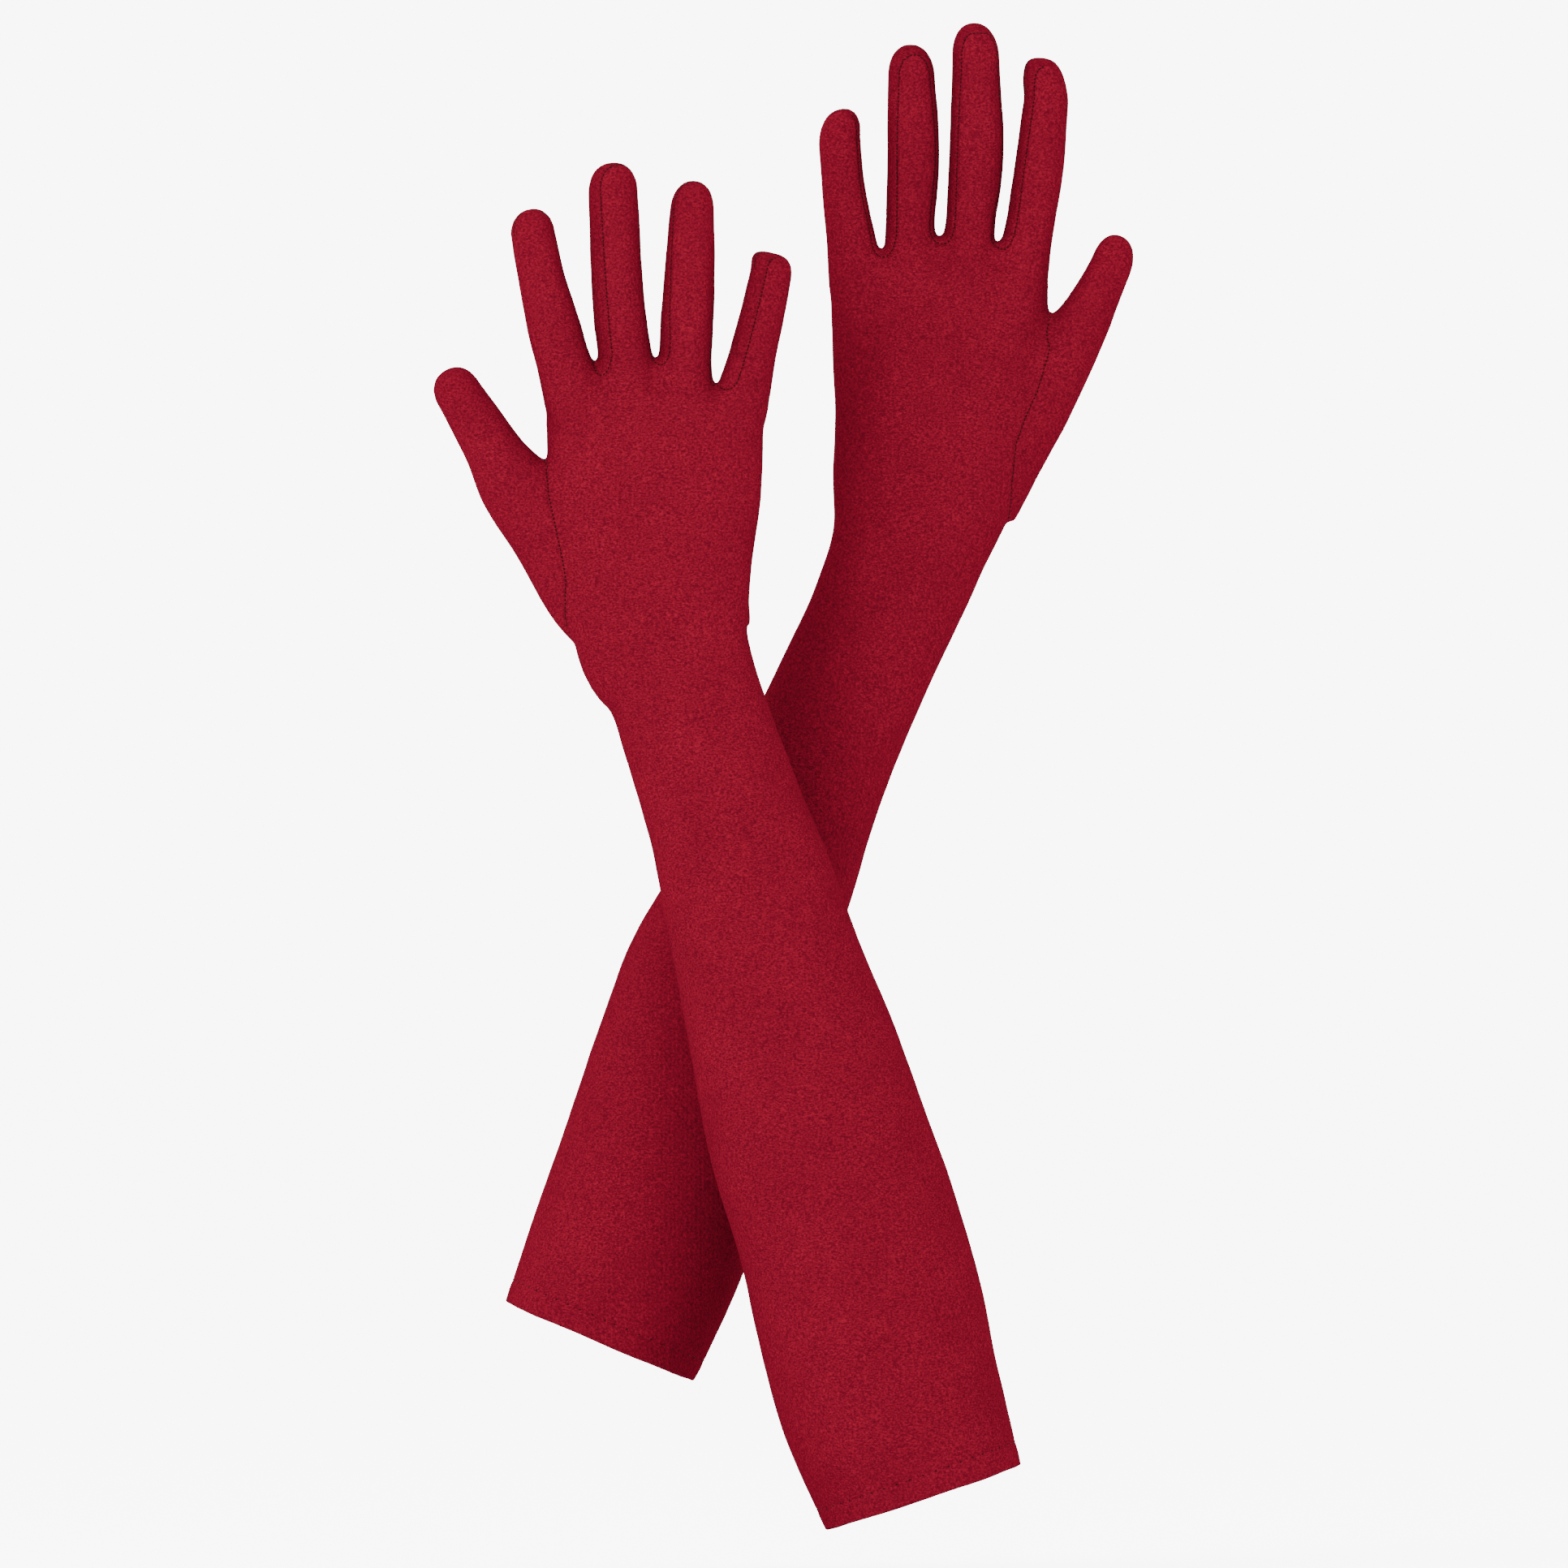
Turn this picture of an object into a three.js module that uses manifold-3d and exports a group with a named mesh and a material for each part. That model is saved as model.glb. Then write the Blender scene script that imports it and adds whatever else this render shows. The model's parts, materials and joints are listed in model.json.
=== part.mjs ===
// A pair of long stretch-satin opera gloves, filled out as they are when worn on two raised, crossed arms.
// Millimetres, +Z up the arms, +X to the wearer's left as the pair is looked at from the backs of the hands.
// The backs of both hands face -Y, the palms face +Y, and the left glove passes behind the right one.
// The origin is the middle of the right glove's arm opening.
import * as THREE from 'three';
import Module from 'manifold-3d';

const wasm = await Module();
wasm.setup();

// ---- Driving dimensions --------------------------------------------------------------------------

const WALL = 1.0; // the stretch fabric with its nap, as one wall
const SEWN_GAP = 0.3; // room between two panels that a seam joins
const HEM_DEPTH = 11; // how far the hem is folded back
const HEM_WALL = 2.2; // the fold is two layers thick
const HEM_STITCH_HEIGHT = 9; // the row of hem stitches above the folded edge
const THREAD = 0.8; // sewing thread, with the fabric that it pulls up
const SEAM_REACH = 3; // a cutter runs this far past what it cuts
const SEAM_BEHIND = 12; // the arm's long seam lies this far behind the middle, towards the palm

const PAIR_SPREAD = 70; // the left glove lies this far behind the right one

const WRIST_BELOW = 14; // bending fabric below the wrist's axis
const WRIST_ABOVE = 12; // bending fabric above the wrist's axis
const KNUCKLE_HEIGHT = 13; // a finger's axis above the top of the hand
const KNUCKLE_ABOVE = 6; // bending fabric above a finger's axis
const FINGER_ROOT = 4; // a finger's fabric reaches this far into the hand before it is trimmed

const FINGER_DEPTH = 0.95; // a finger's depth over its width
const SIDE_STRIP = 9; // width of the strip sewn between a finger's front and back
const STRIP_SHORT_OF_TIP = 6;
const TIP_ROUNDING = 0.43; // how long a rounded tip is, over the digit's width

const ARM_SIDES = 18; // flats round the arm and the hand
const FINGER_SIDES = 10;
const THREAD_SIDES = 4;
const TIP_BENDS = [0.5, 0.88]; // where a rounded tip has its rings, as parts of a quarter turn
const ROUNDNESS = 2.2; // 2 is an ellipse, more is squarer

// Arm and hand stations, from the hem up: x, z, width, depth. The wrist is station WRIST.
const WRIST = 6;
const RIGHT = {
  name: 'right',
  thumbSide: -1,
  behind: 0,
  arm: [
    [0, 0, 78, 82],
    [-14.8, 44.7, 85.7, 84],
    [-21.7, 75.5, 86.8, 80],
    [-40.2, 137, 83.3, 72],
    [-57.8, 198.7, 71.2, 64],
    [-75.8, 260, 60, 50],
    [-93, 309.5, 57, 40],
    [-101.6, 352.7, 72.7, 32],
    [-101.5, 383.5, 80, 30],
    [-102, 424, 90, 27],
  ],
  // Each finger: where its middle line leaves the hand and where it ends, then its width at root, middle and tip.
  fingers: {
    index: { root: [-134.5, 424], tip: [-148.8, 488.2], widths: [20.5, 18, 16] },
    middle: { root: [-112.4, 424], tip: [-118.3, 505.7], widths: [20, 18.8, 17] },
    ring: { root: [-91.2, 424], tip: [-88.1, 498.7], widths: [20, 18.6, 16] },
    little: { root: [-67.4, 424], tip: [-56.4, 471.5], widths: [18, 16.4, 14.8] },
  },
  // The thumb, from inside the hand to its tip: x, z, width, depth. Its axis is at station THUMB_AXIS.
  thumb: [
    [-122, 347, 46, 24],
    [-140, 369, 38, 25],
    [-155, 386, 28, 24],
    [-162.6, 397, 22.4, 21],
    [-170, 409, 20, 19.5],
    [-180.2, 426, 17, 17],
  ],
};

const LEFT = {
  name: 'left',
  thumbSide: 1,
  behind: PAIR_SPREAD,
  arm: [
    [-123.4, 58.2, 77.7, 82],
    [-105.5, 104, 82.5, 80],
    [-93.6, 137, 83, 76],
    [-80.5, 187, 75, 68],
    [-64, 223.3, 71, 62],
    [-42.5, 276, 58.5, 50],
    [-21.5, 322, 55, 40],
    [-2.2, 371, 66, 34],
    [5.2, 414.3, 78, 30],
    [6.7, 471, 88, 27],
  ],
  fingers: {
    little: { root: [-26, 471], tip: [-31.4, 526.4], widths: [18, 16.8, 15.5] },
    ring: { root: [-4.7, 471], tip: [-5.2, 551.3], widths: [19.6, 18.6, 16.4] },
    middle: { root: [17, 471], tip: [19.4, 559.3], widths: [20.8, 19, 17.4] },
    index: { root: [38.6, 471], tip: [46.2, 546.4], widths: [20, 18.6, 16.4] },
  },
  thumb: [
    [20, 396, 46, 24],
    [37.5, 417, 38, 25],
    [52, 435, 28, 24],
    [60.3, 446.5, 22, 21],
    [66.6, 458, 18.6, 18.5],
    [75.2, 479, 15.6, 16],
  ],
};

const THUMB_AXIS = 2.4;
const THUMB_ABOVE = 2.95; // the thumb's own shell starts here
const THUMB_BELOW = THUMB_ABOVE - 0.03;

// ---- Colours ---------------------------------------------------------------------------------------

function fabric(color, roughness) {
  return new THREE.MeshStandardMaterial({ color, roughness, metalness: 0 });
}

const satin = () => fabric(0x9b1626, 0.55);
const stripSatin = () => fabric(0x8c1222, 0.6);
const thread = () => fabric(0x6d0f1c, 0.8);

// ---- Sections and solids ---------------------------------------------------------------------------

// A section across a tube: its middle, the way the tube runs, and its width and depth.
function section(centre, along, width, depth) {
  return { centre, along: along.clone().normalize(), width, depth };
}

function shifted(item, distance) {
  const centre = item.centre.clone().addScaledVector(item.along, distance);
  return { ...item, centre };
}

// A point on a section's outline, moved in by `inset`.
function outlinePoint(item, angle, inset) {
  const across = new THREE.Vector3(item.along.z, 0, -item.along.x);
  const power = 2 / ROUNDNESS;
  const c = Math.cos(angle);
  const s = Math.sin(angle);
  const x = (item.width / 2 - inset) * Math.sign(c) * Math.abs(c) ** power;
  const y = (item.depth / 2 - inset) * Math.sign(s) * Math.abs(s) ** power;
  return item.centre.clone().addScaledVector(across, x).add(new THREE.Vector3(0, y, 0));
}

function outline(item, inset, sides) {
  const angles = Array.from({ length: sides }, (_, i) => (2 * Math.PI * i) / sides);
  return angles.map((angle) => outlinePoint(item, angle, inset));
}

// Joins a row of outlines into a surface. A closed row meets its own start, and an open one gets two flat ends.
function skin(rings, closed) {
  const sides = rings[0].length;
  const points = rings.flat();
  const faces = [];
  const rows = closed ? rings.length : rings.length - 1;
  for (let row = 0; row < rows; row += 1) {
    const low = row * sides;
    const high = ((row + 1) % rings.length) * sides;
    for (let i = 0; i < sides; i += 1) {
      const next = (i + 1) % sides;
      faces.push([low + i, low + next, high + next], [low + i, high + next, high + i]);
    }
  }
  if (!closed) {
    const last = (rings.length - 1) * sides;
    const bottom = points.length;
    const top = bottom + 1;
    points.push(middleOf(rings[0]), middleOf(rings[rings.length - 1]));
    for (let i = 0; i < sides; i += 1) {
      const next = (i + 1) % sides;
      faces.push([bottom, next, i], [top, last + i, last + next]);
    }
  }
  return new wasm.Manifold(new wasm.Mesh({
    numProp: 3,
    vertProperties: new Float32Array(points.flatMap((p) => p.toArray())),
    triVerts: new Uint32Array(faces.flat()),
  }));
}

function middleOf(ring) {
  const sum = ring.reduce((total, point) => total.add(point), new THREE.Vector3());
  return sum.divideScalar(ring.length);
}

function solid(sections, inset, sides) {
  return skin(sections.map((item) => outline(item, inset, sides)), false);
}

// A tube wall: the solid less its hollow, which runs out past each open end.
function tube(sections, wall, sides) {
  const first = shifted(sections[0], -SEAM_REACH);
  const last = shifted(sections[sections.length - 1], SEAM_REACH);
  const hollow = [first, ...sections.slice(1, -1), last];
  return solid(sections, 0, sides).subtract(solid(hollow, wall, sides));
}

// A box whose middle is at `centre`, with its long way along a section's direction.
function block(item, size, offset) {
  const geometry = new THREE.BoxGeometry(...size);
  const turn = Math.atan2(item.along.x, item.along.z);
  geometry.translate(...offset);
  geometry.rotateY(turn);
  geometry.translate(...item.centre.toArray());
  return fromGeometry(geometry);
}

// A three.js box as a cutter: its corners are shared between its faces.
function fromGeometry(geometry) {
  const position = geometry.getAttribute('position');
  const index = geometry.getIndex();
  const corners = new Map();
  const points = [];
  const shared = [];
  for (let i = 0; i < index.count; i += 1) {
    const p = new THREE.Vector3().fromBufferAttribute(position, index.getX(i));
    const key = p.toArray().map((value) => value.toFixed(4)).join(' ');
    if (!corners.has(key)) {
      corners.set(key, corners.size);
      points.push(p);
    }
    shared.push(corners.get(key));
  }
  return new wasm.Manifold(new wasm.Mesh({
    numProp: 3,
    vertProperties: new Float32Array(points.flatMap((p) => p.toArray())),
    triVerts: new Uint32Array(shared),
  }));
}

function piece(name, body, material) {
  const { vertProperties, triVerts, numProp } = body.getMesh();
  if (numProp !== 3) throw new Error(`${name} carries more than positions`);
  const geometry = new THREE.BufferGeometry();
  geometry.setAttribute('position', new THREE.BufferAttribute(vertProperties, 3));
  geometry.setIndex(new THREE.BufferAttribute(triVerts, 1));
  geometry.computeVertexNormals();
  const mesh = new THREE.Mesh(geometry, material);
  mesh.name = name;
  return mesh;
}

// ---- The arm's and the thumb's middle lines ----------------------------------------------------------

// A smooth line through stations of x, z, width and depth. `at` counts in stations.
function stationLine(stations) {
  const last = stations.length - 1;
  const middle = new THREE.CatmullRomCurve3(stations.map(([x, z]) => new THREE.Vector3(x, 0, z)));
  const size = new THREE.CatmullRomCurve3(stations.map(([, , w, d]) => new THREE.Vector3(w, d, 0)));
  return (at) => {
    const t = Math.min(Math.max(at / last, 0), 1);
    const { x: width, y: depth } = size.getPoint(t);
    return section(middle.getPoint(t), middle.getTangent(t), width, depth);
  };
}

// Sections from one station count to another, in equal steps.
function run(line, from, to, steps) {
  return Array.from({ length: steps + 1 }, (_, i) => line(from + ((to - from) * i) / steps));
}

// The station count a distance in millimetres from another, found along the line.
function stationAt(line, from, distance) {
  const reach = line(from + Math.sign(distance) * 0.5).centre.distanceTo(line(from).centre);
  return from + (Math.sign(distance) * 0.5 * Math.abs(distance)) / reach;
}

// ---- Fingers -------------------------------------------------------------------------------------------

function fingerLength(finger) {
  return Math.hypot(finger.tip[0] - finger.root[0], finger.tip[1] - finger.root[1]);
}

// A finger's section at a height above its root.
function fingerSection(finger, height) {
  const root = new THREE.Vector3(finger.root[0], 0, finger.root[1]);
  const along = new THREE.Vector3(finger.tip[0], 0, finger.tip[1]).sub(root).normalize();
  const [low, middle, high] = finger.widths;
  const part = (2 * height) / fingerLength(finger);
  const width = part < 1 ? low + (middle - low) * part : middle + (high - middle) * (part - 1);
  return section(root.addScaledVector(along, height), along, width, width * FINGER_DEPTH);
}

function shrunk(item, inset) {
  return { ...item, width: item.width - 2 * inset, depth: item.depth - 2 * inset };
}

// A wall closed by a rounded tip, open at its first section. The last section is where the tip begins.
function closedShell(sections, rounding) {
  const end = sections[sections.length - 1];
  const tip = (inset) => TIP_BENDS.map((part) => {
    const bend = (part * Math.PI) / 2;
    const item = shifted(shrunk(end, inset), (rounding - inset) * Math.sin(bend));
    const scale = Math.cos(bend) ** 0.8;
    return { ...item, width: item.width * scale, depth: item.depth * scale };
  });
  const inner = sections.map((item) => shrunk(item, WALL));
  inner[0] = shifted(inner[0], -SEAM_REACH);
  const outside = solid([...sections, ...tip(0)], 0, FINGER_SIDES);
  return outside.subtract(solid([...inner, ...tip(WALL)], 0, FINGER_SIDES));
}

// A finger's closed shell from its bending fabric to its tip.
function fingerShell(finger) {
  const start = KNUCKLE_HEIGHT + KNUCKLE_ABOVE;
  const rounding = finger.widths[2] * TIP_ROUNDING;
  const end = fingerLength(finger) - rounding;
  const heights = [start, (start + end) / 2, end];
  return closedShell(heights.map((height) => fingerSection(finger, height)), rounding);
}

// The slot that a side strip fills, on one side of a finger: side is -1 or +1 along X.
function stripSlot(finger, side, spare) {
  const base = fingerSection(finger, 0);
  const bottom = -FINGER_ROOT;
  const top = fingerLength(finger) - STRIP_SHORT_OF_TIP + spare;
  const size = [finger.widths[0], SIDE_STRIP + 2 * spare, top - bottom];
  return block(base, size, [side * finger.widths[0] * 0.62, 0, (top + bottom) / 2]);
}

// The sides of a finger that face another finger, and so carry a strip.
function stripSides(glove, name) {
  if (name === 'index') return [-glove.thumbSide];
  if (name === 'little') return [glove.thumbSide];
  return [-1, 1];
}

// ---- Sub-parts ---------------------------------------------------------------------------------------

function hemBand(glove, line) {
  const top = stationAt(line, 0, HEM_DEPTH);
  return piece(`${glove.name}_hem`, tube(run(line, 0, top, 1), HEM_WALL, ARM_SIDES), satin());
}

// The arm's main panel, in a front half and a palm half that meet at the long seam and at the fold opposite it.
function sleevePanels(glove, line) {
  const from = stationAt(line, 0, HEM_DEPTH + SEWN_GAP);
  const to = stationAt(line, WRIST, -WRIST_BELOW);
  const whole = tube(run(line, from, to, 6), WALL, ARM_SIDES);
  const { min, max } = whole.boundingBox();
  const size = [max[0] - min[0] + SEAM_REACH, max[1] - min[1], max[2] - min[2] + SEAM_REACH];
  const middle = section(
    new THREE.Vector3((min[0] + max[0]) / 2, 0, (min[2] + max[2]) / 2),
    new THREE.Vector3(0, 0, 1),
    0,
    0,
  );
  const behind = SEAM_BEHIND + size[1] / 2;
  const palmHalf = whole.intersect(block(middle, size, [0, behind + SEWN_GAP / 2, 0]));
  const backHalf = whole.subtract(block(middle, size, [0, behind - SEWN_GAP / 2, 0]));
  return [
    piece(`${glove.name}_sleeve_back`, backHalf, satin()),
    piece(`${glove.name}_sleeve_palm`, palmHalf, satin()),
  ];
}

function wristFabric(glove, line) {
  const from = stationAt(line, WRIST, SEWN_GAP - WRIST_BELOW);
  const to = stationAt(line, WRIST, WRIST_ABOVE - SEWN_GAP);
  return piece(`${glove.name}_wrist`, tube(run(line, from, to, 2), WALL, ARM_SIDES), satin());
}

// The outside of the hand, grown by `spare` where another piece is cut back from it.
function handSolid(glove, line, spare) {
  const last = glove.arm.length - 1;
  const sections = run(line, stationAt(line, WRIST, WRIST_ABOVE), last, 4);
  if (spare > 0) sections.push(shifted(sections[sections.length - 1], spare));
  return solid(sections, -spare, ARM_SIDES);
}

// Palm and back of the hand in one wall, open at the wrist, at each finger and at the thumb.
function hand(glove, line, thumbLine) {
  const last = glove.arm.length - 1;
  const from = stationAt(line, WRIST, WRIST_ABOVE);
  const sections = run(line, from, last, 4);
  const hollow = [shifted(sections[0], -SEAM_REACH), ...sections.slice(1, -1), shifted(sections[4], -WALL)];
  let body = handSolid(glove, line, 0).subtract(solid(hollow, WALL, ARM_SIDES));
  for (const finger of Object.values(glove.fingers)) {
    const hole = [fingerSection(finger, -FINGER_ROOT), fingerSection(finger, FINGER_ROOT)];
    body = body.subtract(solid(hole, WALL, FINGER_SIDES));
  }
  const thumb = solid(run(thumbLine, 0, THUMB_ABOVE, 4), -SEWN_GAP, FINGER_SIDES);
  return piece(`${glove.name}_hand`, body.subtract(thumb), satin());
}

// The bending fabric at a finger's knuckle, trimmed where it meets the hand.
function knuckleFabric(glove, line, name) {
  const finger = glove.fingers[name];
  const top = KNUCKLE_HEIGHT + KNUCKLE_ABOVE - SEWN_GAP;
  const ends = [fingerSection(finger, -FINGER_ROOT), fingerSection(finger, top)];
  const whole = tube(ends, WALL, FINGER_SIDES);
  return piece(`${glove.name}_${name}_knuckle`, whole.subtract(handSolid(glove, line, SEWN_GAP)), satin());
}

function fingerPanels(glove, name) {
  const finger = glove.fingers[name];
  const shell = fingerShell(finger);
  const sides = stripSides(glove, name);
  let front = shell;
  const strips = [];
  for (const side of sides) {
    front = front.subtract(stripSlot(finger, side, SEWN_GAP / 2));
    const strip = shell.intersect(stripSlot(finger, side, -SEWN_GAP / 2));
    const facing = side === glove.thumbSide ? 'thumb_side' : 'outer_side';
    strips.push(piece(`${glove.name}_${name}_strip_${facing}`, strip, stripSatin()));
  }
  return [piece(`${glove.name}_${name}_finger`, front, satin()), ...strips];
}

// The thumb is one panel with a seam round its root: the part that bends, then the part that swings.
function thumbPanels(glove, line, thumbLine) {
  const root = tube(run(thumbLine, 0, THUMB_BELOW, 5), WALL, FINGER_SIDES);
  const trimmed = largest(root.subtract(handSolid(glove, line, SEWN_GAP)));
  const tip = run(thumbLine, THUMB_ABOVE, glove.thumb.length - 1, 3);
  const rounding = tip[3].width * TIP_ROUNDING;
  tip[3] = shifted(tip[3], -rounding);
  return [
    piece(`${glove.name}_thumb_root`, trimmed, satin()),
    piece(`${glove.name}_thumb`, closedShell(tip, rounding), satin()),
  ];
}

function largest(body) {
  return body.decompose().sort((a, b) => b.volume() - a.volume())[0];
}

// A thread that lies on the fabric, through points just off it.
function threadAlong(points, ways, closed) {
  const rings = points.map((point, i) => {
    const before = points[closed ? (i + points.length - 1) % points.length : Math.max(i - 1, 0)];
    const after = points[closed ? (i + 1) % points.length : Math.min(i + 1, points.length - 1)];
    const along = after.clone().sub(before).normalize();
    const out = ways[i].clone().addScaledVector(along, -ways[i].dot(along)).normalize();
    const side = new THREE.Vector3().crossVectors(along, out);
    return Array.from({ length: THREAD_SIDES }, (_, k) => {
      const angle = (2 * Math.PI * (k + 0.5)) / THREAD_SIDES;
      const radius = THREAD * Math.SQRT1_2;
      return point.clone()
        .addScaledVector(out, radius * Math.cos(angle))
        .addScaledVector(side, radius * Math.sin(angle));
    });
  });
  return skin(rings, closed);
}

const THREAD_LIFT = THREAD / 2 + SEWN_GAP;

function hemStitching(glove, line) {
  const at = line(stationAt(line, 0, HEM_STITCH_HEIGHT));
  const points = outline(at, -THREAD_LIFT, ARM_SIDES);
  const ways = points.map((point) => point.clone().sub(at.centre));
  return piece(`${glove.name}_hem_stitching`, threadAlong(points.reverse(), ways.reverse(), true), thread());
}

// The long seam of the arm, down the little-finger edge where the two halves of the panel meet.
function sideSeam(glove, line) {
  const from = stationAt(line, 0, HEM_DEPTH + 4);
  const to = stationAt(line, WRIST, -WRIST_BELOW - 3);
  const stations = run(line, from, to, 12);
  const points = stations.map((item) => {
    const angle = Math.asin((2 * SEAM_BEHIND / item.depth) ** (ROUNDNESS / 2));
    return outlinePoint(item, glove.thumbSide < 0 ? angle : Math.PI - angle, -THREAD_LIFT);
  });
  const ways = stations.map((item, i) => points[i].clone().sub(item.centre));
  return piece(`${glove.name}_side_seam`, threadAlong(points, ways, false), thread());
}

// ---- The pair ------------------------------------------------------------------------------------------

function buildGlove(glove) {
  const line = stationLine(glove.arm);
  const thumbLine = stationLine(glove.thumb);
  const group = new THREE.Group();
  const handGroup = new THREE.Group();
  group.position.y = glove.behind;
  group.add(hemBand(glove, line), ...sleevePanels(glove, line));
  group.add(hemStitching(glove, line), sideSeam(glove, line));
  group.add(wristFabric(glove, line), handGroup);
  handGroup.add(hand(glove, line, thumbLine), ...thumbPanels(glove, line, thumbLine));
  for (const name of Object.keys(glove.fingers)) {
    handGroup.add(knuckleFabric(glove, line, name), ...fingerPanels(glove, name));
  }
  return group;
}

const group = new THREE.Group();
group.add(buildGlove(RIGHT), buildGlove(LEFT));

export default group;
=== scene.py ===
"""A pair of long stretch-satin opera gloves, filled out as they are on two raised, crossed arms.

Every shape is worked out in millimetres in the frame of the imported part, +Z up the arms and the backs of
the hands towards -Y, and is made metres when its piece is finished. Each glove is one closed skin that is
cut along its seams and at its joints, so that the panels meet without a step.
"""

import json
import math

import bmesh
import bpy
import numpy as np
from mathutils import Matrix, Vector, noise
from mathutils.bvhtree import BVHTree
from mathutils.kdtree import KDTree


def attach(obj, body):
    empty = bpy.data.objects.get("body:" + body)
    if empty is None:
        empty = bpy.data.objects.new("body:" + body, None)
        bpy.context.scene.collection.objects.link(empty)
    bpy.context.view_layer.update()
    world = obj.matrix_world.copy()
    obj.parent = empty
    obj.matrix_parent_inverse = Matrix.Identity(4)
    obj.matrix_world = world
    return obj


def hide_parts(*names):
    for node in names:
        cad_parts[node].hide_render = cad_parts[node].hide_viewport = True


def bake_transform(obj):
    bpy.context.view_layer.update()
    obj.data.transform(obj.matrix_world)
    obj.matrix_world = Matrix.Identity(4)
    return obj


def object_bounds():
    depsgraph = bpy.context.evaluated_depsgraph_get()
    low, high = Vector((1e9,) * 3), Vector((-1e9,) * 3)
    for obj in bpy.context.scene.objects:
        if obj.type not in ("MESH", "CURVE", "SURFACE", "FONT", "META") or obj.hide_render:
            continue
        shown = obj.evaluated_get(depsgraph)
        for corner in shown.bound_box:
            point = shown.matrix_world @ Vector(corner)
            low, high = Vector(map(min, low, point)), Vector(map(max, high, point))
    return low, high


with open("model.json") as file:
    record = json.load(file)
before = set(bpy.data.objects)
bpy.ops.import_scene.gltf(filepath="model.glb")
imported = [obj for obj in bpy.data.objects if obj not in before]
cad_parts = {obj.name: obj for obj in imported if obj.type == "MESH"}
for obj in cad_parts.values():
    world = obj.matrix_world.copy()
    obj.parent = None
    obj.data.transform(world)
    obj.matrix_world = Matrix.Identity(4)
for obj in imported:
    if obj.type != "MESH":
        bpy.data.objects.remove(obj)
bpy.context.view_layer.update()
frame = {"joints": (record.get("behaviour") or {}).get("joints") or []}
JOINTS = {joint["name"]: joint for joint in frame["joints"]}

# ---- Sizes, in millimetres ---------------------------------------------------------------------------

MM = 0.001
VOXEL = 1.05  # the grain of the skin that joins the fingers to the hand
WALL = 0.6  # the stretch satin
RING_STEP = 3.0  # between the rings of a sleeve, hand or digit
ARM_SIDES = 96
FINGER_SIDES = 40
THUMB_SIDES = 48
ARM_ROUNDNESS = 2.25  # 2 is an ellipse, more is squarer
FINGER_ROUNDNESS = 2.15
FINGER_DEPTH = 0.95  # of its width
THUMB_SQUARE = 2.3  # how blunt the thumb's tip is
TIP_RINGS = 9
WEB_RADII = (5, 8.5, 8)

HAND_FROM = 13.0  # the sleeve ends this far above the wrist's axis
HAND_OVERLAP = 14  # the hand is shaped from this far below that edge, and trimmed
RIM_MERGE = 0.35  # points of the trimmed edge nearer than this become one
SLEEVE_SETTLES = 21  # the sleeve takes its own section within this length of the hand
FINGER_CUT = -5.0  # a finger's panel starts this far from its hinge, just above the webs
FINGER_BENDS = 18.0  # the length that a finger's fabric bends in

SMOOTHED_AWAY = 0.12  # what smoothing takes off the skin
SKIN_SMOOTHING = 6  # passes
CROTCH_DROP = 4  # the fairing round a web is centred this far below it
KNUCKLES_FAIRED = (18, 12)  # within this reach of a web, and in this many passes
THUMB_FAIRED = (16, 14)
UNEVENNESS = ((0.35, 26), (0.12, 9))  # the height and length of the cloth's broad and fine waves

HEM_DEPTH = 11
HEM_THICKNESS = 1.6
HEM_STITCHES = 8.8  # height of the hem's row of stitches above its edge
HEM_RINGS = (12.3, 11.3, 10.5, 10.0, 9.6, 9.2, 8.8, 8.4, 8.0, 7.6, 7.0, 6, 4.6, 3.2, 2, 1.1, 0.5)
HEM_DIP = (0.16, HEM_STITCHES, 0.8)  # how far its stitches pull it in, at what height, how widely
HEM_SWELL = (0.18, 5, 2.6)  # how far it swells below them

SEAM_DEPTH = 0.32
SEAM_SPREAD = 0.6
SEAM_RIDGE = (0.04, 1.5, 0.7)  # height, how far beside the seam, and width
SEAM_BEHIND = 12  # the arm's long seam lies this far behind the middle, towards the palm
SEAM_GRAIN = 1.7  # the skin's grain is finer this near to a seam
SEAM_SIDES = 120  # of the rings that a finger's seams are found on
PANELS_FROM = 0.35  # of a finger's length: where its panels' widths are set
WEB_SEAM_DROP = 2.7  # the seam between two fingers dips this far below their web
WEB_SEAM_STEPS = 12
CUT_REACH = 3  # faces this near to a cut are looked at

STITCH_LENGTH = 1.15
STITCH_WIDTH = 0.6
STITCH_PITCH = 1.5
STITCH_PROUD = 0.02
HEM_STITCH_LENGTH = 0.95
HEM_STITCH_PITCH = 5.2

# ---- Colours and light -------------------------------------------------------------------------------

# `dark` and `light` are the two ends of a cloth's speckle.
SATIN = {
    "dark": (0.019, 0.0007, 0.0022), "light": (0.054, 0.0019, 0.005), "roughness": 0.58, "relief": 0.4,
}
STRIPS = {
    "dark": (0.0165, 0.0006, 0.0019), "light": (0.047, 0.0017, 0.0044), "roughness": 0.62, "relief": 0.45,
}
LOOP_SIZE = 0.00055  # a knitted loop, in metres
THREAD_DARK = (0.002, 0.0001, 0.0002)
THREAD_LIGHT = (0.007, 0.0002, 0.0006)

SKY = 8.4
BACKDROP_GLOW = 0.4
STAGE_SIZE = 16  # metres, as are the stage's other sizes
STAGE_CURVE = 8
FLOOR_IN_FRONT = 4
FLOOR_GAP = 0.02  # the pair floats just above the floor
# Each light's name, place and width in metres, and power.
LIGHTS = (("key", (-1.3, -2.0, 1.5), 1.0, 150), ("fill", (1.9, -1.6, 0.6), 1.6, 1))

VIEW_CENTRE = Vector((-53, 0, 270.7)) * MM
VIEW_WIDTH = 595 * MM
LENS = 800
SENSOR = 36

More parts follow.
